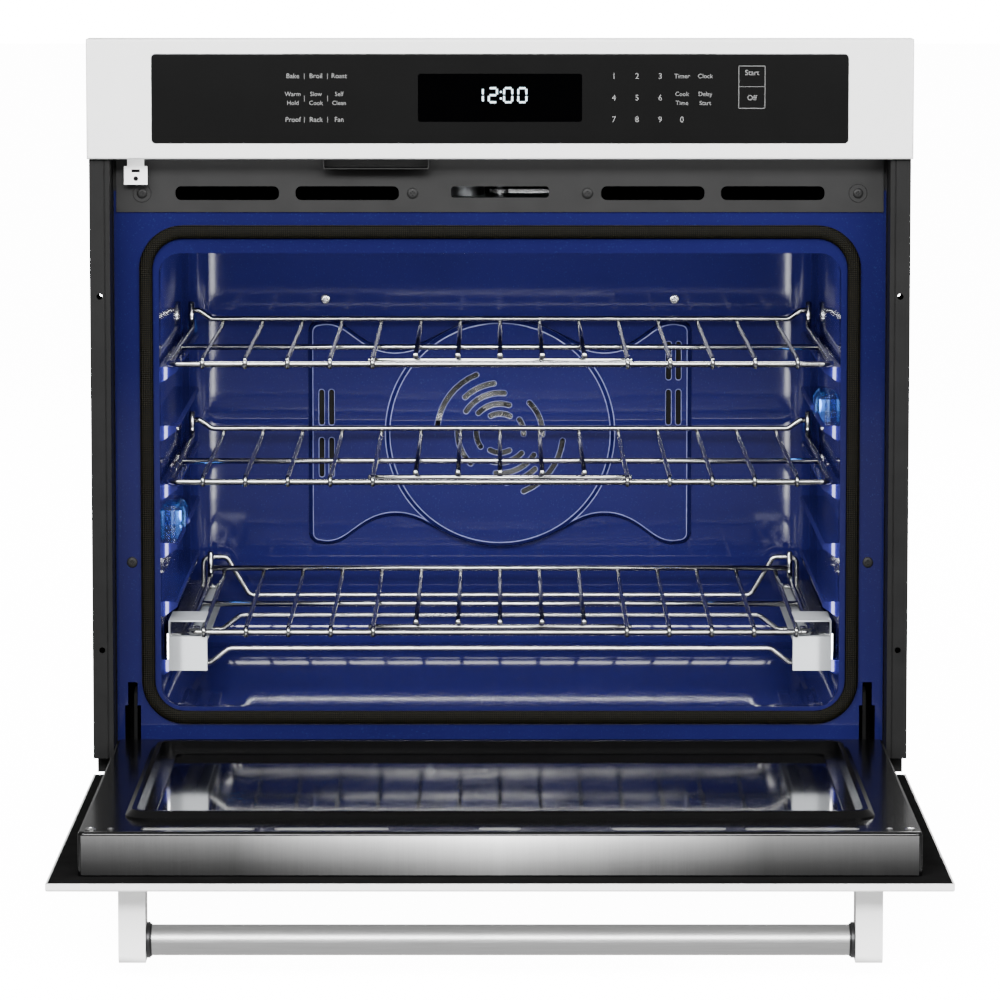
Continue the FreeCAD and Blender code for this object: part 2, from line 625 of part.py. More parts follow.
def hinge_receiver():
    """Right hinge pocket: a body behind the frame and a claw plate out to the pivot pin."""
    y0 = FRAME_Y + ENAMEL + 0.5
    shell = box(HINGE_X - 9, HINGE_X + 9, y0, 78, 36, 120)
    shell = shell.cut(box(HINGE_X - 7.5, HINGE_X + 7.5, y0 - 1, 76, 38, 118))
    outline = [(HINGE_Y - 6, 37.5), (HINGE_Y + 4, 36.2), (20, 38.2), (77, 60), (77, 90), (20, 108), (6, 104),
               (3.5, 60), (-6, 50), (HINGE_Y + 1, 48.5), (HINGE_Y - 6, 46)]
    points = [V(HINGE_X - 4.2, y, z) for y, z in outline]
    claw = Part.Face(Part.makePolygon(points + points[:1])).extrude(V(3.0, 0, 0))
    pin = rod_x(HINGE_X - 4, HINGE_X + 3.5, HINGE_Y, HINGE_Z, 3.0)
    return fuse([shell, claw, pin])


def hinge_arm():
    """Right hinge arm, closed: a plate on the pivot pin that runs up inside the door."""
    x0 = HINGE_X - 0.9
    plate = box(x0, x0 + 3.0, HINGE_Y - 8, HINGE_Y + 8, HINGE_Z - 7, 210)
    body = box(x0 - 3, x0 + 8, HINGE_Y - 6, HINGE_Y + 14, 62, 232)
    body = body.cut(box(x0 - 1.5, x0 + 6.5, HINGE_Y - 4, HINGE_Y + 15, 63, 231))
    bridge = box(x0 - 3, x0 + 3, HINGE_Y - 6, HINGE_Y - 3, 66, 208)
    return fuse([plate, body, bridge]).cut(rod_x(x0 - 10, x0 + 10, HINGE_Y, HINGE_Z, 3.05))


def blower_housing():
    """Scroll housing of the cooling fan, open below to the duct and in front to the outlet."""
    cy, cz = 470.0, 625.0
    scroll = rod_x(-130, 130, cy, cz, 46)
    outlet = box(-130, 130, 395, cy, cz - 46, cz - 10)
    inside = [rod_x(-128.8, 128.8, cy, cz, 44.8), box(-128.8, 128.8, 390, cy, cz - 44.8, cz - 11.2)]
    intake = box(-110, 110, cy - 25, cy + 25, cz + 30, cz + 60)
    bearing = rod_x(-140, 140, cy, cz, 8)
    foot = box(-130, 130, cy - 20, cy + 20, 562.5, cz - 44.9)
    return cut(fuse([scroll, outlet, foot]), inside + [intake, bearing, box(-120, 120, cy - 19, cy + 19, 560, 579.5)])


def cooling_wheel():
    """Cross-flow wheel: two end discs joined by slats, on the motor's shaft."""
    cy, cz = 470.0, 625.0
    ends = [rod_x(x, x + 2, cy, cz, 34) for x in (-118, -1, 116)]
    boss = rod_x(100, 118, cy, cz, 9)
    slats = []
    for i in range(16):
        slat = box(-118, 118, cy - 4, cy + 4, cz + 31.5, cz + 32.6)
        slat.rotate(V(0, cy, cz), V(1, 0, 0), 22.5 * i)
        slats.append(slat)
    return fuse(ends + [boss] + slats).cut(rod_x(90, 130, cy, cz, 3.05))


def cooling_motor():
    cy, cz = 470.0, 625.0
    shaft = rod_x(102, 140, cy, cz, 3.0)
    body = rod_x(135, 172, cy, cz, 30)
    neck = rod_x(131, 136, cy, cz, 12)
    foot = box(138, 168, cy - 22, cy + 22, 562.5, cz - 15)
    return fuse([shaft, neck, body, foot])


def cable_inlet():
    """Conduit fitting in the back sheet: threaded stub, flange and lock nut."""
    x, z = 250.0, 640.0
    stub = cylinder_y(x, CASE_BACK - 14, CASE_BACK + 12, z, 11.0)
    flange = cylinder_y(x, CASE_BACK + 0.2, CASE_BACK + 5, z, 16)
    nut = cylinder_y(x, CASE_BACK - SHEET - 5, CASE_BACK - SHEET - 0.2, z, 15)
    return fuse([stub, flange, nut]).cut(cylinder_y(x, CASE_BACK - 20, CASE_BACK + 20, z, 8.0))


# ---------------------------------------------------------------- racks

def oven_rack(z):
    """Wire rack: frame bar with raised back, two cross bars, fifteen wires; five stop at a front bar."""
    f, b, x = RACK_FRONT, RACK_BACK - 6, RAIL_X
    frame = tube([(-x, b, z + 27), (-x, b, z), (-x, f, z), (x, f, z), (x, b, z), (x, b, z + 27)], RAIL_R, 12)
    back = tube([(-x + 0.5, b, z + 19), (-x + 8, b, z + 19), (-x + 20, b, z + 10.5), (x - 20, b, z + 10.5),
                 (x - 8, b, z + 19), (x - 0.5, b, z + 19)], 2.7, 4)
    bars = [rod_x(-x, x, 215, z, 2.8), rod_x(-124, 124, 63, z, 2.8)]
    wires = []
    for i in range(-7, 8):
        start = 57 if abs(i) < 3 else f - 4
        wires.append(rod_y(i * WIRE_PITCH, start, b + 3, z + 4.6, WIRE_R))
        wires.append(rod_z(i * WIRE_PITCH, b, z + 4.2, z + 9.5, WIRE_R - 0.2))
    return frame.multiFuse([back] + bars + wires)


def lower_rack():
    """Roll-out rack: the same wires on a narrower frame that stands on the inner slides."""
    z, f, b, x = ROLL_Z, RACK_FRONT, RACK_BACK - 8, ROLL_RAIL_X
    frame = tube([(-x, b, z + 27), (-x, b, z), (-x, f, z), (x, f, z), (x, b, z), (x, b, z + 27)], RAIL_R, 10)
    bars = [rod_x(-x, x, b, z + 11, 2.7), rod_x(-x, x, 233, z, 2.8), rod_x(-124, 124, 63, z, 2.8)]
    wires = []
    for i in range(-7, 8):
        start = 57 if abs(i) < 3 else f - 4
        wires.append(rod_y(i * WIRE_PITCH, start, b + 2, z + 4.6, WIRE_R))
        wires.append(rod_z(i * WIRE_PITCH, b, z + 4.2, z + 10, WIRE_R - 0.2))
    feet = [box(285, x, y, y + 20, z - 4.4, z - 1) for y in (60, 380)]
    feet += [mirrored(foot) for foot in feet]
    return frame.multiFuse(bars + wires + feet)


def slide_channel(x0, x1, y0, y1, z0, z1, wall):
    """A slide member on the right side: a channel open towards the middle."""
    return box(x0, x1, y0, y1, z0, z1).cut(box(x0 - 1, x1 - wall, y0 - 1, y1 + 1, z0 + wall, z1 - wall))


def slide_outer():
    """Fixed member of the right slide, resting on the lowest rib."""
    return slide_channel(301.0, 314.0, 34, 440, LEVELS[0] - RAIL_R + 0.1, 156.0, 1.5)


def slide_middle():
    return slide_channel(292.6, 300.4, 34, 430, 134.0, 153.5, 1.5)


def slide_inner():
    """Moving member of the right slide, with the front plate and hood that hide the slide's end."""
    bar = slide_channel(282.0, 292.0, 30, 428, 134.0, 153.8, 1.8)
    plate = box(276.0, 312.0, 22, 31, 122.7, 155.0)
    cheek = box(310.8, 312.0, 22, 31, 154.5, 170.0)
    hood = box(278.0, 312.0, 24, 90, 168.8, 170.0)
    return fuse([bar, plate, cheek, hood])


def slide_frame():
    """Wires that tie the two outer slides together under the rack; the rear one rises at its ends."""
    low, high, x = 127.0, 141.0, 303.0
    parts = []
    for y in (42, 280):
        parts.append(tube([(-x, y, low), (-274, y, low), (-256, y, high), (256, y, high), (274, y, low), (x, y, low)],
                          2.6, 8))
        tab = box(301.5, 303, y - 2, y + 2, low, 133)
        parts += [tab, mirrored(tab)]
    x = 300.5
    rear = RIB_END - 3
    parts.append(tube([(-x, rear, 140), (-x, rear, 180), (-277, rear, 180), (-254, rear, high), (254, rear, high),
                       (277, rear, 180), (x, rear, 180), (x, rear, 140)], 2.6, 7))
    return parts


# ---------------------------------------------------------------- door, drawn closed

def door_outer():
    """Outer door panel: a shallow folded tray with a window opening."""
    body = box(-FRONT_HALF_W, FRONT_HALF_W, FRONT_FACE, FRONT_FACE + DOOR_SKIN, DOOR_LOW, DOOR_TOP)
    body = body.makeFillet(2.0, front_rim(body, FRONT_FACE))
    hollow = box(-FRONT_HALF_W + 1.5, FRONT_HALF_W - 1.5, FRONT_FACE + 1.5, 0, DOOR_LOW + 1.5, DOOR_TOP - 1.5)
    window = slab_xz(-250, 250, 200, 430, FRONT_FACE - 1, FRONT_FACE + 3, 12)
    holes = [cylinder_y(x, FRONT_FACE - 1, FRONT_FACE + 5, HANDLE_Z, 2.6) for x in (-311.5, 312.5)]
    return cut(body, [hollow, window] + holes)


def door_glass_outer():
    return slab_xz(-262, 262, 188, 442, FRONT_FACE + 1.7, FRONT_FACE + 5.2, 14)


def liner_pan(grow, y0, y1):
    return slab_xz(-LINER_HALF_W + grow, LINER_HALF_W - grow, LINER_LOW + grow, LINER_TOP - grow, y0, y1, 6 - grow / 2)


def ridge_slab(inset, y0, y1):
    """Rounded rectangle on the ridge's outline, drawn in by the inset."""
    return slab_xz(-RIDGE_HALF_W + inset, RIDGE_HALF_W - inset, RIDGE_LOW + inset, RIDGE_TOP - inset,
                   y0, y1, 22 - inset)


def door_liner():
    """Inner door panel: a drawn pan with a ridge round the window and a row of vent slots near the top."""
    back = LINER_BACK
    pan = liner_pan(0, LINER_FRONT, back)
    pan = pan.makeFillet(3.0, front_rim(pan, back))
    pan = pan.cut(liner_pan(1.2, LINER_FRONT - 1, back - 1.2))
    seat = back - RECESS_DEPTH
    ridge = ridge_slab(0, seat - 1.2, back + RIDGE_H)
    ridge = ridge.makeChamfer(5.5, front_rim(ridge, back + RIDGE_H))
    hollow = ridge_slab(2.5, seat - 3, back + 3).cut(ridge_slab(RIDGE_W - 1.5, seat - 4, back + 4))
    recess = ridge_slab(RIDGE_W, seat, back + RIDGE_H + 1)
    window = slab_xz(-WINDOW_HALF_W, WINDOW_HALF_W, WINDOW_LOW, WINDOW_TOP, seat - 5, seat + 5, 10)
    slots = [slab_xz(x - 47.5, x + 47.5, 551.5, 557.5, back - 5, back + 5, 2.6) for x in (-255.5, -142.5, 142.5, 255.5)]
    slots.append(slab_xz(-17, 17, 551.5, 557.5, back - 5, back + 5, 2.6))
    hinge = [box(side * HINGE_X - 10, side * HINGE_X + 10, LINER_FRONT - 1, HINGE_Y + 16, 50, 64) for side in (-1, 1)]
    screws = [cylinder_y(x, back - 5, back + 5, 558, 2.2) for x in (-346, 346)]
    return cut(pan.fuse(ridge), [hollow, recess, window] + slots + hinge + screws)


def door_glass_inner():
    y = LINER_BACK - RECESS_DEPTH - 1.2
    return slab_xz(-WINDOW_HALF_W - 9, WINDOW_HALF_W + 9, WINDOW_LOW - 9, WINDOW_TOP + 9, y - 4.3, y - 0.3, 6)


def door_frame():
    """Black plate inside the outer panel's folded rim, with rails that clamp the inner glass to the liner."""
    y = FRONT_FACE + DOOR_SKIN
    plate = box(-FRONT_HALF_W + 1.8, FRONT_HALF_W - 1.8, y - 1.3, y - 0.1, DOOR_LOW + 1.8, DOOR_TOP - 1.8)
    window = slab_xz(-252, 252, 198, 432, y - 5, y + 5, 12)
    seat = LINER_BACK - RECESS_DEPTH - 5.8
    x, low, high = WINDOW_HALF_W + 12, WINDOW_LOW - 12, WINDOW_TOP + 12
    rails = slab_xz(-x, x, low, high, y - 1.0, seat, 6)
    rails = rails.cut(slab_xz(-x + 14, x - 14, low + 14, high - 14, y - 2, seat + 1, 6))
    return cut(fuse([plate, rails]), [window])


def handle_bar():
    return rod_x(-321.4, 322.4, FRONT_FACE - 52, HANDLE_Z, 13.2)


def handle_bracket(x):
    """Handle end: a square block from the door to the bar, rounded at its tip and bored for the bar's end."""
    y = FRONT_FACE - 52
    tip = y - 18
    block = box(x - 11.5, x + 11.5, tip, FRONT_FACE - 0.2, HANDLE_Z - 16.5, HANDLE_Z + 16.5)
    rim = [e for e in front_rim(block, tip) if e.BoundBox.XLength > 20]
    block = block.makeFillet(7.0, rim)
    bores = [rod_x(x - 20, x + 20, y, HANDLE_Z, 13.4), cylinder_y(x, FRONT_FACE - 16, FRONT_FACE, HANDLE_Z, 2.0)]
    return cut(block, bores)


def handle_cap(x):
    """Plug that closes a bracket's bore flush with its outer side."""
    return rod_x(x, x + 1.3, FRONT_FACE - 52, HANDLE_Z, 13.2)


def handle_screws():
    """Two screws from inside the outer panel into the brackets."""
    screws = []
    for x in (-311.5, 312.5):
        head = cylinder_y(x, FRONT_FACE + 1.7, FRONT_FACE + 4.7, HANDLE_Z, 5.0)
        screws.append(fuse([head, cylinder_y(x, FRONT_FACE - 14, FRONT_FACE + 2, HANDLE_Z, 1.9)]))
    return screws


def liner_screws():
    """Two screws near the liner's top corners, heads towards the cavity."""
    screws = []
    for x in (-346, 346):
        head = cylinder_y(x, LINER_BACK + 0.1, LINER_BACK + 1.9, 558, 4.6)
        head = head.makeFillet(0.9, front_rim(head, LINER_BACK + 1.9))
        screws.append(fuse([head, cylinder_y(x, LINER_BACK - 12, LINER_BACK + 1, 558, 1.9)]))
    return screws


def main():
    os.makedirs("parts", exist_ok=True)
    lamp_left = (212.0, 246.0)
    lamp_right = (212.0, 354.0)
    pieces = {
        "case_sides": both(case_side()),
        "case_top": case_top(),
        "case_back": case_back(),
        "case_base": case_base(),
        "side_trims": both(side_trim()),
        "bottom_trim": bottom_trim(),
        "control_panel": control_panel(),
        "control_glass": control_glass(),
        "display_module": display_module(),
        "control_board": control_board(),
        "panel_tab": panel_tab(),
        "tag_holder": tag_holder(),
        "vent_fascia": vent_fascia(),
        "screws": Part.makeCompound(fascia_screws() + back_screws()),
        "air_duct": air_duct(),
        "cavity_floor": cavity_floor(),
        "cavity_ceiling": cavity_ceiling(),
        "cavity_right": cavity_side(*lamp_right),
        "cavity_left": mirrored(cavity_side(*lamp_left)),
        "cavity_back": cavity_back(),
        "cavity_frame": cavity_frame(),
        "door_seal": door_seal(),
        "fan_chamber": fan_chamber(),
        "fan_cover": fan_cover(),
        "ring_element": ring_element(),
        "convection_fan": convection_fan(),
        "convection_motor": convection_motor(),
        "broil_element": broil_element(),
        "bake_element": bake_element(),
        "temperature_probe": temperature_probe(),
        "lamp_housings": Part.makeCompound([lamp_housing(*lamp_right), mirrored(lamp_housing(*lamp_left))]),
        "lamp_bulbs": Part.makeCompound([lamp_bulb(*lamp_right), mirrored(lamp_bulb(*lamp_left))]),
        "lamp_lenses": Part.makeCompound([lamp_lens(*lamp_right), mirrored(lamp_lens(*lamp_left))]),
        "insulation_sides": Part.makeCompound([insulation_side(*lamp_right), mirrored(insulation_side(*lamp_left))]),
        "insulation_top": insulation_top(),
        "insulation_bottom": insulation_bottom(),
        "insulation_back": insulation_back(),
        "latch_plate": latch_plate(),
        "latch_hook": latch_hook(),
        "hinge_receivers": both(hinge_receiver()),
        "blower_housing": blower_housing(),
        "cooling_wheel": cooling_wheel(),
        "cooling_motor": cooling_motor(),
        "cable_inlet": cable_inlet(),
        "upper_rack": oven_rack(LEVELS[5]),
        "middle_rack": oven_rack(LEVELS[3]),
        "lower_rack": lower_rack(),
        "slide_base": fuse([slide_outer(), mirrored(slide_outer())] + slide_frame()),
        "slide_middles": both(slide_middle()),
        "slide_inners": both(slide_inner()),
    }
    door = {
        "door_outer": door_outer(),
        "door_glass_outer": door_glass_outer(),
        "door_liner": door_liner(),
        "door_glass_inner": door_glass_inner(),
        "door_frame": door_frame(),
        "hinge_arms": both(hinge_arm()),
        "handle_bar": handle_bar(),
        "handle_brackets": Part.makeCompound([handle_bracket(-311.5), handle_bracket(312.5)]),
        "handle_caps": Part.makeCompound([handle_cap(-323.0), handle_cap(322.7)]),
        "door_screws": Part.makeCompound(handle_screws() + liner_screws()),
    }
    pieces.update({name: opened(shape) for name, shape in door.items()})
    for name, shape in pieces.items():
        shape.exportStep("parts/" + name + ".step")


if __name__ == "__main__":
    main()
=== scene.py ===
import bpy
import bmesh
import json
import math
from mathutils import Matrix, Vector


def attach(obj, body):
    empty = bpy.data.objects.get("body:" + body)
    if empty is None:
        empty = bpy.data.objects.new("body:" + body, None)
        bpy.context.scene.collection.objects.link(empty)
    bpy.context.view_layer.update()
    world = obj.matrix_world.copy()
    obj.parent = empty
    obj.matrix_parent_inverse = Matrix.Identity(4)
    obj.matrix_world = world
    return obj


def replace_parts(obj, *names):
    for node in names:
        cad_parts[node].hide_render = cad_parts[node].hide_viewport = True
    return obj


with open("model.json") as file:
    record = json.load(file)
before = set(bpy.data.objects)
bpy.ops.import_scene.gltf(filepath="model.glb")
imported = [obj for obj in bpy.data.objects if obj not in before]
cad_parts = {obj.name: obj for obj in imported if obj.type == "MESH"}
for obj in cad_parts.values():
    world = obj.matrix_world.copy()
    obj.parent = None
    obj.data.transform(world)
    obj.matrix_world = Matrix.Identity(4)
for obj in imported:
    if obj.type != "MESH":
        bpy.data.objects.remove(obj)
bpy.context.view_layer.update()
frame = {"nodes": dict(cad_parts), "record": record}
NODES = frame["nodes"]
MM = 0.001


# ---------------------------------------------------------------- materials

def node_material(name):
    """A new material with its node tree, its shader and the texture coordinates."""
    mat = bpy.data.materials.new(name)
    mat.use_nodes = True
    nodes = mat.node_tree.nodes
    shader = nodes["Principled BSDF"]
    coords = nodes.new("ShaderNodeTexCoord")
    return mat, nodes, mat.node_tree.links, shader, coords


def noise(nodes, links, coords, scale, detail=3.0, stretch=None):
    """A noise texture in object space, stretched along an axis when asked."""
    tex = nodes.new("ShaderNodeTexNoise")
    tex.inputs["Scale"].default_value = scale
    tex.inputs["Detail"].default_value = detail
    if stretch:
        mapping = nodes.new("ShaderNodeMapping")
        mapping.inputs["Scale"].default_value = stretch
        links.new(coords.outputs["Object"], mapping.inputs["Vector"])
        links.new(mapping.outputs["Vector"], tex.inputs["Vector"])
    else:
        links.new(coords.outputs["Object"], tex.inputs["Vector"])
    return tex


def ramp(nodes, links, source, stops):
    """Colours picked along a value from 0 to 1."""
    node = nodes.new("ShaderNodeValToRGB")
    links.new(source, node.inputs["Fac"])
    elements = node.color_ramp.elements
    while len(elements) < len(stops):
        elements.new(0.5)
    for element, (place, colour) in zip(elements, stops):
        element.position = place
        element.color = (*colour, 1.0)
    return node.outputs["Color"]


def spread(nodes, links, source, low, high):
    """A value from 0 to 1 stretched to run from low to high."""
    node = nodes.new("ShaderNodeMapRange")
    node.inputs["To Min"].default_value = low
    node.inputs["To Max"].default_value = high
    links.new(source, node.inputs["Value"])
    return node.outputs["Result"]


def surface(name, colour, rough, metal=0.0, vary=0.06, scale=40.0, stretch=None, bump=0.0, bump_scale=None,
            shine=0.5, transmission=0.0):
    """A finish whose colour and roughness drift a little over the surface, with optional fine bump."""
    mat, nodes, links, shader, coords = node_material(name)
    tex = noise(nodes, links, coords, scale, 4.0, stretch)
    dark = tuple(c * (1 - vary) for c in colour)
    light = tuple(min(1.0, c * (1 + vary)) for c in colour)
    tone = ramp(nodes, links, tex.outputs["Fac"], [(0.3, dark), (0.7, light)])
    links.new(tone, shader.inputs["Base Color"])
    links.new(spread(nodes, links, tex.outputs["Fac"], rough * 0.85, rough * 1.2), shader.inputs["Roughness"])
    shader.inputs["Metallic"].default_value = metal
    shader.inputs["IOR"].default_value = 1.45
    shader.inputs["Transmission Weight"].default_value = transmission
    shader.inputs["Specular IOR Level"].default_value = shine
    if bump:
        fine = noise(nodes, links, coords, bump_scale or scale * 8, 2.0, stretch)
        node = nodes.new("ShaderNodeBump")
        node.inputs["Strength"].default_value = bump
        node.inputs["Distance"].default_value = 0.0004
        links.new(fine.outputs["Fac"], node.inputs["Height"])
        links.new(node.outputs["Normal"], shader.inputs["Normal"])
    return mat


def glow(name, colour, strength):
    """A lit surface, slightly uneven."""
    mat, nodes, links, shader, coords = node_material(name)
    tex = noise(nodes, links, coords, 60.0)
    dim = tuple(c * 0.9 for c in colour)
    tone = ramp(nodes, links, tex.outputs["Fac"], [(0.2, dim), (0.8, colour)])
    links.new(tone, shader.inputs["Emission Color"])
    shader.inputs["Emission Strength"].default_value = strength
    shader.inputs["Roughness"].default_value = 0.4
    return mat


def enamel(name, low, high):
    """Porcelain enamel: glassy, with fine pale specks."""
    speck, density = (0.010, 0.014, 0.060), 0.66
    mat, nodes, links, shader, coords = node_material(name)
    broad = noise(nodes, links, coords, 5.0, 3.0)
    base = ramp(nodes, links, broad.outputs["Fac"], [(0.3, low), (0.7, high)])
    fine = noise(nodes, links, coords, 620.0, 1.0)
    mask = ramp(nodes, links, fine.outputs["Fac"], [(density, (0, 0, 0)), (density + 0.05, (1, 1, 1))])
    mix = nodes.new("ShaderNodeMix")
    mix.data_type = "RGBA"
    links.new(mask, mix.inputs["Factor"])
    links.new(base, mix.inputs["A"])
    mix.inputs["B"].default_value = (*speck, 1.0)
    links.new(mix.outputs["Result"], shader.inputs["Base Color"])
    links.new(spread(nodes, links, broad.outputs["Fac"], 0.045, 0.06), shader.inputs["Roughness"])
    shader.inputs["Specular IOR Level"].default_value = 0.28
    return mat


def brushed_edge_painted_highlight(name):
    """Brushed steel band, with grain across it, and a painted highlight that is brightest in the middle of
    its length.
    """
    mat, nodes, links, shader, coords = node_material(name)
    split = nodes.new("ShaderNodeSeparateXYZ")
    links.new(coords.outputs["Object"], split.inputs["Vector"])
    grain = noise(nodes, links, coords, 60.0, 3.0, (14, 0.4, 0.4))
    place = nodes.new("ShaderNodeMath")
    place.operation = "MULTIPLY_ADD"
    place.inputs[1].default_value = 1.35
    place.inputs[2].default_value = 0.5
    links.new(split.outputs["X"], place.inputs[0])
    # Painted highlight: the band's colour is lightest mid-length and dark at its ends, standing for a
    # reflected light.
    highlight_shades = [(0.0, 0.075), (0.2, 0.10), (0.36, 0.32), (0.5, 0.64), (0.64, 0.32), (0.8, 0.10), (1.0, 0.075)]
    tone = ramp(nodes, links, place.outputs["Value"], [(spot, (v, v, v)) for spot, v in highlight_shades])
    mix = nodes.new("ShaderNodeMix")
    mix.data_type = "RGBA"
    mix.blend_type = "MULTIPLY"
    mix.inputs["Factor"].default_value = 0.25
    links.new(tone, mix.inputs["A"])
    streaks = ramp(nodes, links, grain.outputs["Fac"], [(0.3, (0.7, 0.7, 0.7)), (0.7, (1, 1, 1))])
    links.new(streaks, mix.inputs["B"])
    links.new(mix.outputs["Result"], shader.inputs["Base Color"])
    links.new(spread(nodes, links, grain.outputs["Fac"], 0.42, 0.52), shader.inputs["Roughness"])
    shader.inputs["Metallic"].default_value = 1.0
    return mat


def weave(name):
    """Black wire mesh with small dull gold crossings."""
    mat, nodes, links, shader, coords = node_material(name)
    split = nodes.new("ShaderNodeSeparateXYZ")
    links.new(coords.outputs["Object"], split.inputs["Vector"])

    def op(kind, a, b=None):
        node = nodes.new("ShaderNodeMath")
        node.operation = kind
        for slot, value in ((0, a), (1, b)):
            if value is None:
                continue
            if isinstance(value, (int, float)):
                node.inputs[slot].default_value = value
            else:
                links.new(value, node.inputs[slot])
        return node.outputs["Value"]

    pitch = 2 * math.pi / 0.0036
    across = op("SINE", op("MULTIPLY", op("ADD", split.outputs["X"], split.outputs["Z"]), pitch))
    along = op("SINE", op("MULTIPLY", op("SUBTRACT", split.outputs["X"], split.outputs["Z"]), pitch))
    height = op("MULTIPLY", across, along)
    colour = ramp(nodes, links, spread(nodes, links, height, 0.0, 1.0),
                  [(0.55, (0.0005, 0.0005, 0.0004)), (0.85, (0.022, 0.019, 0.009))])
    links.new(colour, shader.inputs["Base Color"])
    node = nodes.new("ShaderNodeBump")
    node.inputs["Strength"].default_value = 0.5
    node.inputs["Distance"].default_value = 0.0005
    links.new(height, node.inputs["Height"])
    links.new(node.outputs["Normal"], shader.inputs["Normal"])
    shader.inputs["Roughness"].default_value = 0.5
    shader.inputs["Specular IOR Level"].default_value = 0.05
    return mat


MAT = {
    "white_paint": surface("white_paint", (0.84, 0.84, 0.835), 0.32, vary=0.012, shine=0.3, bump=0.03,
                           bump_scale=900),
    "black_paint": surface("black_paint", (0.0064, 0.0064, 0.0064), 0.45, vary=0.1, shine=0.12),
    "grey_fascia": surface("grey_fascia", (0.0078, 0.0078, 0.0078), 0.42, vary=0.1, shine=0.2),
    "blue_enamel": enamel("blue_enamel", (0.0048, 0.0048, 0.0360), (0.0060, 0.0060, 0.0470)),
    "galvanised": surface("galvanised", (0.30, 0.31, 0.32), 0.42, metal=1.0, vary=0.14, scale=70, bump=0.05),
    # Paler enamel for the fan cover's bevels: a painted highlight along its edges.
    "painted_highlight_enamel": surface("painted_highlight_enamel", (0.11, 0.12, 0.26), 0.2, vary=0.2, scale=60),
    "lamp_glass": surface("lamp_glass", (0.16, 0.38, 0.95), 0.12, vary=0.05, transmission=1.0),
    "black_glass": surface("black_glass", (0.0048, 0.0048, 0.0048), 0.10, vary=0.05, scale=12, shine=0.25),
    "dark_glass": surface("dark_glass", (0.0012, 0.0012, 0.0014), 0.06, vary=0.1, scale=6, shine=0.22),
    "clear_glass": surface("clear_glass", (0.8, 0.84, 0.84), 0.05, vary=0.01, transmission=1.0),
    "display": surface("display", (0.0003, 0.0003, 0.0004), 0.1, vary=0.1, shine=0.02),
    "circuit": surface("circuit", (0.01, 0.08, 0.03), 0.5, vary=0.3, scale=300),
    "chrome_wire": surface("chrome_wire", (0.31, 0.31, 0.31), 0.16, metal=1.0, vary=0.05, scale=90),
    "bright_steel": surface("bright_steel", (0.42, 0.42, 0.42), 0.25, metal=1.0, vary=0.08,
                            stretch=(1, 5, 1)),
    "satin_steel": surface("satin_steel", (0.29, 0.29, 0.29), 0.36, metal=1.0, vary=0.06, scale=60,
                           stretch=(0.4, 14, 14), bump=0.05),
    "seal_mesh": weave("seal_mesh"),
    "insulation": surface("insulation", (0.50, 0.43, 0.25), 0.9, vary=0.25, scale=120, bump=0.6),
    "motor": surface("motor", (0.03, 0.03, 0.033), 0.45, vary=0.1),
    "element": surface("element", (0.03, 0.028, 0.027), 0.55, metal=0.7, vary=0.2, scale=60),
    "bulb_glass": glow("bulb_glass", (0.45, 0.72, 1.0), 14.0),
    "grey_plastic": surface("grey_plastic", (0.10, 0.10, 0.10), 0.35, vary=0.06),
    "liner_enamel": surface("liner_enamel", (0.0014, 0.0014, 0.0015), 0.14, vary=0.08, shine=0.3),
    "print": surface("print", (0.15, 0.15, 0.15), 0.5, vary=0.03),
    "digits": glow("digits", (0.20, 0.70, 0.95), 1.3),
    "dark_screw": surface("dark_screw", (0.008, 0.008, 0.008), 0.5, vary=0.1, shine=0.2),
    "slot_rim": surface("slot_rim", (0.14, 0.14, 0.14), 0.4, metal=1.0, vary=0.1),
    "zinc": surface("zinc", (0.24, 0.25, 0.26), 0.5, metal=0.4, vary=0.05, scale=30, shine=0.4),
    # The door edge band's brushed steel carries a painted highlight along its length.
    "door_edge_painted_highlight": brushed_edge_painted_highlight("door_edge_painted_highlight"),
    "matte_black": surface("matte_black", (0.0060, 0.0060, 0.0060), 0.9, vary=0.15, shine=0.0),
    "dark_steel": surface("dark_steel", (0.035, 0.035, 0.036), 0.38, metal=1.0, vary=0.12),
}

SLOTS = {row["node"]: row["material_slot"] for row in frame["record"]["subparts"]}
# air_duct is set to matte black as painted shade inside the fascia's slots.
FINISH = {"door_frame": "matte_black", "air_duct": "matte_black", "hinge_receivers": "matte_black",
          "hinge_arms": "zinc", "handle_caps": "white_paint", "slide_inners": "zinc",
          "lamp_lenses": "lamp_glass"}
for node_name, node in NODES.items():
    node.data.materials.clear()
    node.data.materials.append(MAT[FINISH.get(node_name, SLOTS[node_name])])


# ---------------------------------------------------------------- mesh helpers (millimetres)

def piece(name, bm, body, slot, material=None, angle=35.0):
    """Makes a named object from a mesh in millimetres and lets it ride its body."""
    bmesh.ops.recalc_face_normals(bm, faces=bm.faces)
    mesh = bpy.data.meshes.new(name)
    bm.to_mesh(mesh)
    bm.free()
    mesh.transform(Matrix.Scale(MM, 4))
    mesh.materials.append(MAT[material or slot])
    for poly in mesh.polygons:
        poly.use_smooth = True
    mesh.set_sharp_from_angle(angle=math.radians(angle))
    obj = bpy.data.objects.new(name, mesh)
    bpy.context.scene.collection.objects.link(obj)
    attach(obj, body)
    return obj


def unique(items):
    """The items once each, in their first order."""
    return list(dict.fromkeys(items))


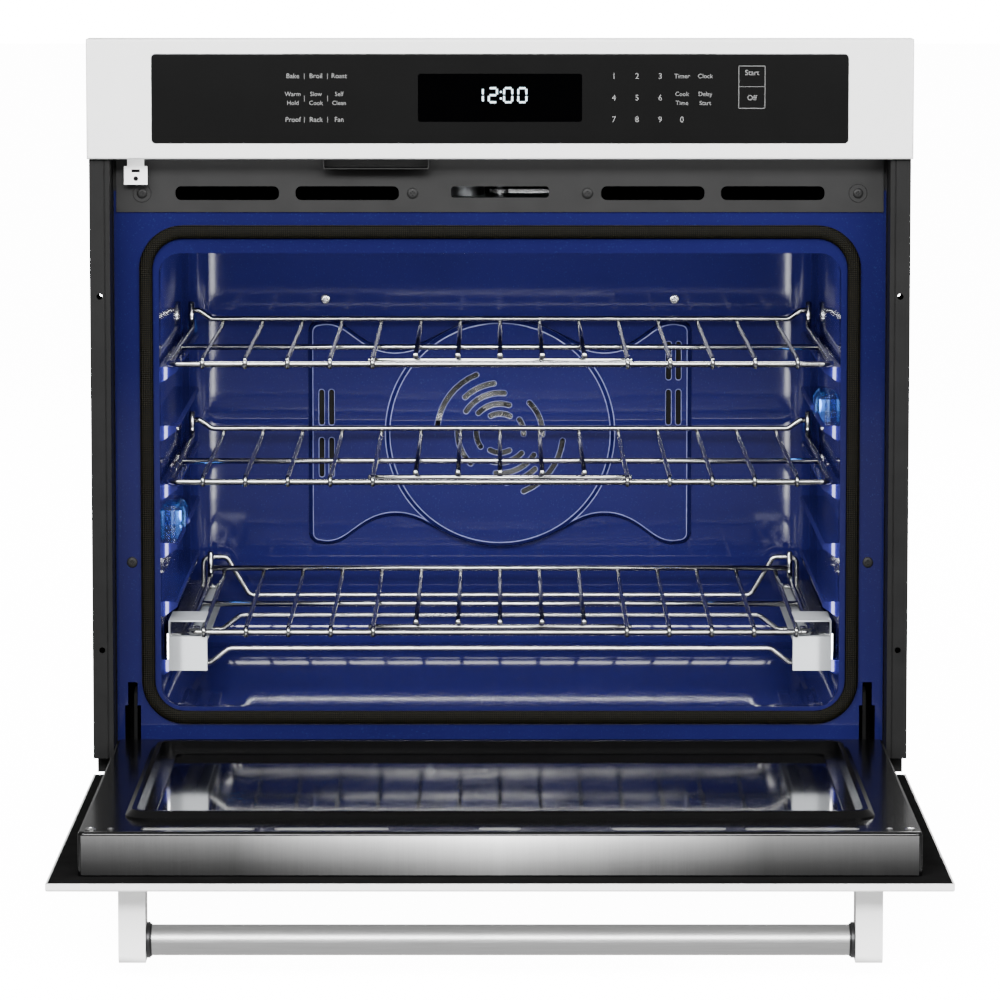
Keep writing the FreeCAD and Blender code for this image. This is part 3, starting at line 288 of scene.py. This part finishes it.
def rounded(points, bend, closed=False, steps=6):
    """The points with each corner turned at a radius."""
    pts = [Vector(p) for p in points]
    count = len(pts)
    out = []
    for i, b in enumerate(pts):
        if not closed and i in (0, count - 1):
            out.append(b)
            continue
        a, c = pts[i - 1], pts[(i + 1) % count]
        u, w = (a - b).normalized(), (c - b).normalized()
        half = u.angle(w) / 2
        if half > math.radians(89):
            out.append(b)
            continue
        reach = min(bend / math.tan(half), (a - b).length * 0.49, (c - b).length * 0.49)
        radius = reach * math.tan(half)
        centre = b + (u + w).normalized() * (radius / math.sin(half))
        start, end = (b + u * reach - centre).normalized(), (b + w * reach - centre).normalized()
        for k in range(steps + 1):
            out.append(centre + start.slerp(end, k / steps) * radius)
    return out


def sweep(bm, path, r, sides=12, closed=False, squash=1.0):
    """A round bar along a path, drawn out from one circle; squash flattens it along Y."""
    count = len(path)
    frames = []
    for i, p in enumerate(path):
        before = path[i - 1] if (i > 0 or closed) else p
        after = path[(i + 1) % count] if (i < count - 1 or closed) else p
        along = (after - before).normalized()
        if i == 0:
            up = Vector((0, 1, 0)) if abs(along.y) < 0.9 else Vector((0, 0, 1))
        across = up.cross(along).normalized()
        up = along.cross(across).normalized()
        frames.append(Matrix.Translation(p) @ Matrix((across, up, along)).transposed().to_4x4())
    if not closed:
        tip = Matrix.Translation((0, 0, 0.35 * r)) @ Matrix.Scale(0.6, 4)
        back = Matrix.Translation((0, 0, -0.35 * r)) @ Matrix.Scale(0.6, 4)
        frames = [frames[0] @ back] + frames + [frames[-1] @ tip]
    ring = bmesh.ops.create_circle(bm, cap_ends=not closed, segments=sides, radius=r,
                                   matrix=frames[0])["verts"]
    made = list(ring)
    first = edges = unique(e for v in ring for e in v.link_edges)
    for before, now in zip(frames, frames[1:]):
        grown = bmesh.ops.extrude_edge_only(bm, edges=edges)["geom"]
        ring = [g for g in grown if isinstance(g, bmesh.types.BMVert)]
        edges = [g for g in grown if isinstance(g, bmesh.types.BMEdge) and set(g.verts) <= set(ring)]
        bmesh.ops.transform(bm, matrix=now @ before.inverted(), verts=ring)
        made += ring
    if closed:
        bmesh.ops.bridge_loops(bm, edges=first + edges)
    else:
        bmesh.ops.contextual_create(bm, geom=edges)
    if squash != 1.0:
        bmesh.ops.scale(bm, vec=(1, squash, 1), space=Matrix.Translation((0, -path[0].y, 0)), verts=made)


def block(bm, x0, x1, y0, y1, z0, z1, bevel=0.0, segments=2):
    """A box with rounded edges."""
    made = bmesh.ops.create_cube(bm, size=1.0)["verts"]
    for v in made:
        v.co = Vector(((x0 + x1) / 2 + v.co.x * (x1 - x0), (y0 + y1) / 2 + v.co.y * (y1 - y0),
                       (z0 + z1) / 2 + v.co.z * (z1 - z0)))
    if bevel:
        edges = unique(e for v in made for e in v.link_edges)
        bmesh.ops.bevel(bm, geom=edges, offset=bevel, offset_type="OFFSET", segments=segments, profile=0.5,
                        affect="EDGES", material=-1)
    return bm


def shell_box(x0, x1, y0, y1, r, steps=6):
    """Corner points of a rounded rectangle in X and Z, as (x, z) pairs."""
    out = []
    corners = ((x1 - r, y1 - r, 0), (x0 + r, y1 - r, 90), (x0 + r, y0 + r, 180), (x1 - r, y0 + r, 270))
    for cx, cz, start in corners:
        for k in range(steps + 1):
            t = math.radians(start + 90 * k / steps)
            out.append((cx + r * math.cos(t), cz + r * math.sin(t)))
    return out


# ---------------------------------------------------------------- racks

RACK_WIRES = [39.85 * i for i in range(-7, 8)]
RIM_R = 3.0
CROSS_R = 2.8
WIRE_R = 2.2


def rim_wire(bm, x, f, b, z, bend):
    """The frame wire: along both sides and the front, with its ends turned up at the back."""
    corners = [(-x, b, z + 27), (-x, b, z), (-x, f, z), (x, f, z), (x, b, z), (x, b, z + 27)]
    sweep(bm, rounded(corners, bend), RIM_R, 16)


def straight(bm, start, end, r, sides=12):
    """A straight bar."""
    sweep(bm, [Vector(start), Vector(end)], r, sides)


def rack_wires(bm, z, tail_of):
    """The wires that run front to back; the middle five stop at the short cross wire, the rest turn down."""
    for i, x in enumerate(RACK_WIRES):
        if 5 <= i <= 9:
            sweep(bm, [Vector((x, 59, z + 4.8))] + tail_of(x), WIRE_R)
            straight(bm, (x, 57, z + 5.2), (x, 60, z + 5.2), 2.9, 14)
        else:
            head = rounded([(x, 19.6, z - 3.2), (x, 19.6, z + 4.8), (x, 60, z + 4.8)], 3.5)
            sweep(bm, head + tail_of(x), WIRE_R)


def rack(name, z):
    """A plain rack, with its back wire raised at both ends."""
    bm = bmesh.new()
    f, b, x = 25.0, 430.0, 311.0
    rim_wire(bm, x, f, b, z, 12)
    back = [(-x, b, z + 19), (-x + 8, b, z + 19), (-x + 20, b, z + 10.5)]
    back += [(-px, py, pz) for px, py, pz in reversed(back)]
    sweep(bm, rounded(back, 5), CROSS_R)
    straight(bm, (-x, 215, z), (x, 215, z), CROSS_R)
    straight(bm, (-124, 63, z), (124, 63, z), CROSS_R)

    def tail_of(wx):
        return [Vector((wx, b - 24, z + 4.8)), Vector((wx, b - 4, z + 6.6)), Vector((wx, b + 1, z + 6.8))]

    rack_wires(bm, z, tail_of)
    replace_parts(piece(name + "_wires", bm, name, "chrome_wire", angle=50), name)


def roll_rack():
    """The rack on slides: narrower, with four feet that sit on the slide rails."""
    bm = bmesh.new()
    z, f, b, x = 158.6, 25.0, 428.0, 293.0
    rim_wire(bm, x, f, b, z, 10)
    for y, half, dz in ((b, x, 11), (233, x, 0), (63, 124, 0)):
        straight(bm, (-half, y, z + dz), (half, y, z + dz), CROSS_R)

    def tail_of(wx):
        return rounded([(wx, b - 30, z + 4.8), (wx, b - 6, z + 6.5), (wx, b - 1, z + 9)], 4)

    rack_wires(bm, z, tail_of)
    for side in (-1, 1):
        for y in (60, 380):
            block(bm, *sorted((side * 285, side * 293)), y, y + 20, z - 4.4, z - 1, 0.6)
    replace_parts(piece("lower_rack_wires", bm, "lower_rack", "chrome_wire", angle=50), "lower_rack")


rack("upper_rack", 412.1)
rack("middle_rack", 301.1)
roll_rack()


# ---------------------------------------------------------------- door seal

def seal():
    """The woven door seal, a flattened ring round the opening."""
    bm = bmesh.new()
    corners = [(-330, 4.0, 80.9), (330, 4.0, 80.9), (330, 4.0, 537.5), (-330, 4.0, 537.5)]
    sweep(bm, rounded(corners, 35, closed=True, steps=12), 6.3, 20, closed=True, squash=0.46)
    obj = piece("door_seal_weave", bm, "case", "seal_mesh", angle=60)
    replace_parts(obj, "door_seal")


seal()


# ---------------------------------------------------------------- screws

def screw_head(bm, x, y, z, r, height, axis="Y"):
    """A pan head facing -Y, or +Z when axis is Z. The crossed recess is sunk into a grid of nine tiles."""
    arm, thin = r * 0.42, r * 0.13
    made = bmesh.ops.create_grid(bm, x_segments=3, y_segments=3, size=arm)["verts"]
    for v in made:
        v.co.x = math.copysign(arm if abs(v.co.x) > arm / 2 else thin, v.co.x)
        v.co.y = math.copysign(arm if abs(v.co.y) > arm / 2 else thin, v.co.y)
        v.co.z = height
        if min(abs(v.co.x), abs(v.co.y)) > thin * 1.5:
            v.co.xy *= 0.75
    tiles = unique(f for v in made for f in v.link_faces)
    rim = [e for e in unique(e for f in tiles for e in f.edges) if e.is_boundary]
    cross = [f for f in tiles if min(abs(f.calc_center_median().x), abs(f.calc_center_median().y)) < thin]
    sunk = bmesh.ops.extrude_face_region(bm, geom=cross)["geom"]
    bmesh.ops.delete(bm, geom=cross, context="FACES_KEEP_BOUNDARY")
    floor = [g for g in sunk if isinstance(g, bmesh.types.BMVert)]
    sink = Matrix.Translation((0, 0, -height * 0.55)) @ Matrix.Diagonal((0.8, 0.8, 1.0, 1.0))
    bmesh.ops.transform(bm, matrix=sink, verts=floor)
    made += floor
    inner = rim
    for radius, level in ((r * 0.55, height), (r * 0.85, height * 0.8), (r, height * 0.35), (r, 0.0)):
        lift = Matrix.Translation((0, 0, level))
        ring = bmesh.ops.create_circle(bm, segments=24, radius=radius, matrix=lift)["verts"]
        outer = unique(e for v in ring for e in v.link_edges)
        if inner is rim:
            bmesh.ops.triangle_fill(bm, use_beauty=True, edges=inner + outer, normal=(0, 0, 1))
        else:
            bmesh.ops.bridge_loops(bm, edges=inner + outer)
        inner = outer
        made += ring
    turn = Matrix.Rotation(math.radians(90), 4, "X") if axis == "Y" else Matrix.Identity(4)
    bmesh.ops.transform(bm, matrix=Matrix.Translation((x, y, z)) @ turn, verts=made)


def screws():
    """Screw heads on the front frame, the cavity's back wall and the inner door panel."""
    bm = bmesh.new()
    for x in (-81.3, 81.3):
        screw_head(bm, x, 4.4, 573.6, 5.2, 2.0)
    for x in (-333.0, 333.0):
        flat = Matrix.Translation((x, 3.9, 573.6)) @ Matrix.Rotation(math.pi / 2, 4, "X")
        bmesh.ops.create_cone(bm, cap_ends=True, segments=40, radius1=8.6, radius2=8.2, depth=1.0,
                              matrix=flat)
        screw_head(bm, x, 3.4, 573.6, 4.8, 1.8)
    for x in (-344.7, 344.7):
        screw_head(bm, x, 5.9, 227.5, 5.0, 2.0)
    obj = piece("front_screws", bm, "case", "bright_steel", "dark_screw")
    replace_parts(obj, "screws")
    bm = bmesh.new()
    for x in (-177.0, 177.0):
        screw_head(bm, x, 467.9, 439.5, 5.0, 2.4)
    piece("back_wall_screws", bm, "case", "bright_steel")
    bm = bmesh.new()
    for x in (-346.0, 346.0):
        screw_head(bm, x, -539.8, 67.1, 4.6, 1.8, axis="Z")
    obj = piece("liner_screws", bm, "door", "bright_steel")
    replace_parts(obj, "door_screws")


screws()


# ---------------------------------------------------------------- door details, drawn with the door open

def liner_details():
    """Slot rims, small screws and the edge band of the inner door panel, and the handle's collars."""
    bm = bmesh.new()
    outlines = [(x - 47.5, x + 47.5) for x in (-255.5, -142.5, 142.5, 255.5)] + [(-17.0, 17.0)]
    for x0, x1 in outlines:
        loop = [Vector((x, y, 67.1)) for x, y in shell_box(x0 - 0.3, x1 + 0.3, -539.6, -533.0, 3.0)]
        sweep(bm, loop, 0.35, 8, closed=True)
    for x in (-329.0, 329.0):
        screw_head(bm, x, -538.0, 67.1, 3.0, 1.2, axis="Z")
    piece("liner_slot_rims", bm, "door", "bright_steel", "slot_rim")
    bm = bmesh.new()
    # The edge band below is coloured with a painted highlight, brightest mid-length.
    block(bm, -353.4, 353.4, -551.75, -551.35, 30.2, 63.8, 0.15)
    piece("door_edge_band", bm, "door", "bright_steel", "door_edge_painted_highlight")
    bm = bmesh.new()
    for inner, outer in ((-300.2, -296.4), (301.2, 297.4)):
        for r, a, b in ((15.4, inner, outer), (14.2, outer, outer + (outer - inner) * 0.35)):
            lying = Matrix.Translation(((a + b) / 2, -526.4, -29.8)) @ Matrix.Rotation(math.pi / 2, 4, "Y")
            made = bmesh.ops.create_cone(bm, cap_ends=True, segments=56, radius1=r, radius2=r,
                                         depth=abs(b - a), matrix=lying)
            rims = unique(e for v in made["verts"] for e in v.link_edges
                          if len(e.link_faces) == 2 and e.calc_face_angle() > 1.0)
            bmesh.ops.bevel(bm, geom=rims, offset=0.5, offset_type="OFFSET", segments=2, profile=0.5,
                            affect="EDGES", material=-1)
    piece("handle_collars", bm, "door", "satin_steel", "dark_steel")


liner_details()


# ---------------------------------------------------------------- panel printing

def text_mesh(bm, words, x, z, size, y):
    """Adds flat lettering, facing the front, centred on x, z."""
    curve = bpy.data.curves.new("words", "FONT")
    curve.body = words
    curve.size = size
    curve.align_x = "CENTER"
    curve.align_y = "CENTER"
    curve.resolution_u = 3
    holder = bpy.data.objects.new("words", curve)
    bpy.context.scene.collection.objects.link(holder)
    bpy.context.view_layer.update()
    flat = bpy.data.meshes.new_from_object(holder)
    flat.transform(Matrix.Translation((x, y, z)) @ Matrix.Rotation(math.pi / 2, 4, "X"))
    bm.from_mesh(flat)
    bpy.data.objects.remove(holder)
    bpy.data.curves.remove(curve)
    bpy.data.meshes.remove(flat)


PANEL_TOP = 718.0
PRINT_Y = -44.9
PRINT_THICK = 0.2
LINE_STEP = 8.2
LABELS = (
    ("Bake", -190.6, 33.9, 6.3), ("Broil", -169.3, 33.9, 6.3), ("Roast", -148.0, 33.9, 6.3),
    ("Warm|Hold", -190.6, 50.5, 5.6), ("Slow|Cook", -169.3, 50.5, 5.6), ("Self|Clean", -148.0, 50.5, 5.6),
    ("Proof", -190.6, 74.0, 6.3), ("Rack", -169.3, 74.0, 6.3), ("Fan", -148.0, 74.0, 6.3),
    ("0", 167.4, 74.0, 7.6), ("Timer", 167.4, 34.1, 5.8), ("Clock", 188.8, 34.1, 5.8),
    ("Cook|Time", 167.4, 50.5, 5.6), ("Delay|Start", 188.8, 50.5, 5.6),
    ("Start", 231.8, 30.9, 6.8), ("Off", 231.8, 54.0, 6.8))


def panel_print():
    """Plain words and digits on the control glass, a framed pair of keys and short dividers."""
    bm = bmesh.new()
    digits = [(str(i + 1), 104.8 + 21.3 * (i % 3), 34.1 + 19.9 * (i // 3), 7.6) for i in range(9)]
    for words, x, below, size in list(LABELS) + digits:
        for k, line in enumerate(words.split("|")):
            text_mesh(bm, line, x, PANEL_TOP - below - LINE_STEP * k, size, PRINT_Y)

    def stroke(x0, x1, low, high):
        block(bm, x0, x1, PRINT_Y, PRINT_Y + PRINT_THICK, PANEL_TOP - high, PANEL_TOP - low)

    left, right, top, bottom = 219.4, 244.0, 24.4, 63.7
    for below, thick in ((top, 0.5), (bottom - 0.5, 0.5), (43.4, 0.4)):
        stroke(left, right, below, below + thick)
    for x in (left, right - 0.5):
        stroke(x, x + 0.5, top, bottom)
    for x in (-180.0, -158.6):
        for below in (34.0, 54.5, 74.0):
            stroke(x - 0.2, x + 0.2, below - 2.6, below + 2.6)
    piece("panel_print", bm, "case", "black_glass", "print")


def display_digits():
    """Four seven-bar digits and a colon."""
    lit = {"1": "bc", "2": "abged", "0": "abcdef"}
    bm = bmesh.new()
    w, h, t = 9.2, 14.6, 1.7
    zc = PANEL_TOP - 51.4

    def bar(x0, z0, x1, z1):
        block(bm, x0, x1, PRINT_Y, PRINT_Y + PRINT_THICK, z0, z1)

    for text, xc in (("1", -19.5), ("2", -6.5), ("0", 7.5), ("0", 20.5)):
        left, right, low, high = xc - w / 2, xc + w / 2, zc - h / 2, zc + h / 2
        bars = {
            "a": (left + t, high - t, right - t, high), "d": (left + t, low, right - t, low + t),
            "g": (left + t, zc - t / 2, right - t, zc + t / 2), "f": (left, zc + t / 2, left + t, high - t),
            "b": (right - t, zc + t / 2, right, high - t), "e": (left, low + t, left + t, zc - t / 2),
            "c": (right - t, low + t, right, zc - t / 2)}
        for key in lit[text]:
            bar(*bars[key])
    for dz in (-3, 3):
        bar(0.0, zc + dz - 0.8, 1.6, zc + dz + 0.8)
    piece("display_digits", bm, "case", "display", "digits")


FAN_Z = 304.0


def slot_shade_screens():
    """Dark screens standing behind the side slots of the fan cover, painted shade where the lit wall would
    show through; low and high are from the fan's axis.
    """
    bm = bmesh.new()
    for side, low, high in ((-1, 8, 44), (-1, -45, -5), (1, 54, 93), (1, 8, 44)):
        x0, x1 = sorted((side * 166.5, side * 185.0))
        block(bm, x0, x1, 463.2, 464.4, FAN_Z + low - 2.5, FAN_Z + high + 2.5, 0.3)
    # Painted shade: these matte black screens darken the slots.
    piece("slot_shade_screens", bm, "case", SLOTS["fan_cover"], "matte_black")


def display_window():
    """The dark pane behind the digits, with rounded corners."""
    bm = block(bmesh.new(), -75.5, 75.5, -44.75, -44.5, 642.1, 686.3)
    corners = [e for e in bm.edges if abs(e.verts[0].co.y - e.verts[1].co.y) > 0.1]
    bmesh.ops.bevel(bm, geom=corners, offset=2.5, offset_type="OFFSET", segments=6, profile=0.5,
                    affect="EDGES", material=-1)
    piece("display_window", bm, "case", "display")


panel_print()
display_digits()
display_window()
slot_shade_screens()


# ---------------------------------------------------------------- softened edges on drawn sheet parts, and a painted highlight on the fan cover's edges

def soften_edges(node_name, width, sharp=50.0):
    """Joins a sheet part's faces, clears their flat seams and rounds the edges that stay sharp."""
    node = NODES[node_name]
    weld = node.modifiers.new("weld", "WELD")
    weld.merge_threshold = 0.01 * MM
    merge = node.modifiers.new("merge_flats", "DECIMATE")
    merge.decimate_type = "DISSOLVE"
    merge.angle_limit = math.radians(0.5)
    soften = node.modifiers.new("soften", "BEVEL")
    soften.width = width * MM
    soften.segments = 2
    soften.limit_method = "ANGLE"
    soften.angle_limit = math.radians(sharp)
    soften.harden_normals = True
    return soften


EDGE_RADIUS = {"control_panel": 0.7, "door_outer": 0.6, "side_trims": 0.4, "bottom_trim": 0.4,
               "vent_fascia": 0.3, "cavity_frame": 0.4, "handle_brackets": 1.6}
for node_name, width in EDGE_RADIUS.items():
    soften_edges(node_name, width)
# The fan cover's bevel faces take the paler enamel, a painted highlight along its edges.
NODES["fan_cover"].data.materials.append(MAT["painted_highlight_enamel"])
cover_highlight_bevel = soften_edges("fan_cover", 0.6, 30.0)
cover_highlight_bevel.material = 1
cover_highlight_bevel.use_clamp_overlap = False


# ---------------------------------------------------------------- camera, light, floor

def area_light(name, place, aim, size, power, size_y=None):
    """A soft white panel light, turned to face a point."""
    data = bpy.data.lights.new(name, "AREA")
    data.shape = "RECTANGLE"
    data.size = size
    data.size_y = size_y or size
    data.energy = power
    obj = bpy.data.objects.new(name, data)
    obj.location = place
    obj.rotation_euler = (Vector(aim) - Vector(place)).to_track_quat("-Z", "Y").to_euler()
    bpy.context.scene.collection.objects.link(obj)
    return obj


def seen_direct(nodes, links, indirect, direct, output):
    """Shows the backdrop bright, and keeps it dim in what the object reflects."""
    path = nodes.new("ShaderNodeLightPath")
    mix = nodes.new("ShaderNodeMixShader")
    links.new(path.outputs["Is Camera Ray"], mix.inputs["Fac"])
    links.new(indirect, mix.inputs[1])
    links.new(direct, mix.inputs[2])
    links.new(mix.outputs["Shader"], output.inputs["Surface"])


def camera():
    """Level with the top of the oven, tilted down a little, far off with a long lens."""
    data = bpy.data.cameras.new("camera")
    data.sensor_width = 36.0
    data.lens = 203.57
    data.clip_end = 100.0
    obj = bpy.data.objects.new("camera", data)
    obj.location = (0.0, -5.2553, 0.8756)
    obj.rotation_euler = (math.radians(90.0 - 6.392), 0, 0)
    bpy.context.scene.collection.objects.link(obj)
    bpy.context.scene.camera = obj
    return obj


def cavity_lamp(side, height):
    """The light from one lamp in the side wall, hidden from reflections."""
    data = bpy.data.lights.new("cavity_lamp", "POINT")
    data.energy = 0.30
    data.color = (0.60, 0.80, 1.0)
    data.shadow_soft_size = 0.012
    lamp = bpy.data.objects.new("cavity_lamp", data)
    lamp.location = (side * 0.296, 0.212, height * MM)
    lamp.visible_glossy = False
    bpy.context.scene.collection.objects.link(lamp)
    return lamp


def all_lights():
    """Four soft panels round the oven, weak ones at the opening, and the two lamps."""
    lights = [
        area_light("key", (-1.8, -3.2, 2.6), (0, 0, 0.35), 2.2, 270),
        area_light("fill", (2.4, -3.0, 1.9), (0, 0, 0.3), 2.0, 160),
        area_light("front", (0, -4.6, 2.1), (0, 0.1, 0.3), 2.2, 380, size_y=0.8),
        area_light("rear", (0.6, 3.2, 2.6), (0, 0.3, 0.3), 2.6, 160),
        area_light("low_front", (0, -0.62, -0.055), (0, -0.62, 1.0), 2.0, 3.6, size_y=0.42),
        area_light("fascia_wash", (0, -0.040, 0.604), (0, 0.010, 0.565), 0.70, 0.22, size_y=0.004),
        area_light("cavity_front", (0, 0.03, 0.505), (0, 0.46, 0.33), 0.58, 3.0, size_y=0.03),
    ]
    wash = area_light("cavity_wash", (0, 0.02, 0.31), (0, 0.4, 0.31), 0.60, 5.4, size_y=0.40)
    wash.visible_glossy = False
    lights.append(wash)
    for x in (-0.314, 0.314):
        lights.append(area_light("opening_strip", (x, 0.03, 0.31), (x, 0.4, 0.31), 0.003, 0.17, size_y=0.38))
    lights += [cavity_lamp(-1, 246.0), cavity_lamp(1, 354.0)]
    for light in lights:
        light.visible_camera = False
    return lights


def pale_floor():
    """A wide floor, bright to the camera and dim in reflections."""
    floor_mat, nodes, links, shader, coords = node_material("floor_pale")
    tex = noise(nodes, links, coords, 3.0)
    tone = ramp(nodes, links, tex.outputs["Fac"], [(0.3, (0.84, 0.84, 0.84)), (0.7, (0.88, 0.88, 0.88))])
    links.new(tone, shader.inputs["Base Color"])
    shader.inputs["Roughness"].default_value = 0.8
    shader.inputs["Specular IOR Level"].default_value = 0.0
    shader.inputs["Emission Color"].default_value = (1, 1, 1, 1)
    shader.inputs["Emission Strength"].default_value = 14.0
    dim = nodes.new("ShaderNodeBsdfDiffuse")
    dim.inputs["Color"].default_value = (0.10, 0.10, 0.10, 1.0)
    seen_direct(nodes, links, dim.outputs["BSDF"], shader.outputs["BSDF"], nodes["Material Output"])
    bm = bmesh.new()
    bmesh.ops.create_grid(bm, x_segments=1, y_segments=1, size=25.0)
    mesh = bpy.data.meshes.new("floor")
    bm.to_mesh(mesh)
    bm.free()
    mesh.materials.append(floor_mat)
    floor = bpy.data.objects.new("floor", mesh)
    floor.location = (0, 0, -0.062)
    bpy.context.scene.collection.objects.link(floor)
    return floor


def surroundings():
    """White all round, bright to the camera and dim in reflections."""
    world = bpy.data.worlds.new("studio")
    bpy.context.scene.world = world
    world.use_nodes = True
    nodes, links = world.node_tree.nodes, world.node_tree.links
    around = nodes["Background"]
    around.inputs["Strength"].default_value = 0.35
    behind = nodes.new("ShaderNodeBackground")
    behind.inputs["Strength"].default_value = 18.0
    for shade in (around, behind):
        shade.inputs["Color"].default_value = (1.0, 1.0, 1.0, 1.0)
    seen_direct(nodes, links, around.outputs["Background"], behind.outputs["Background"],
                nodes["World Output"])


surroundings()
pale_floor()
camera()
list(all_lights())
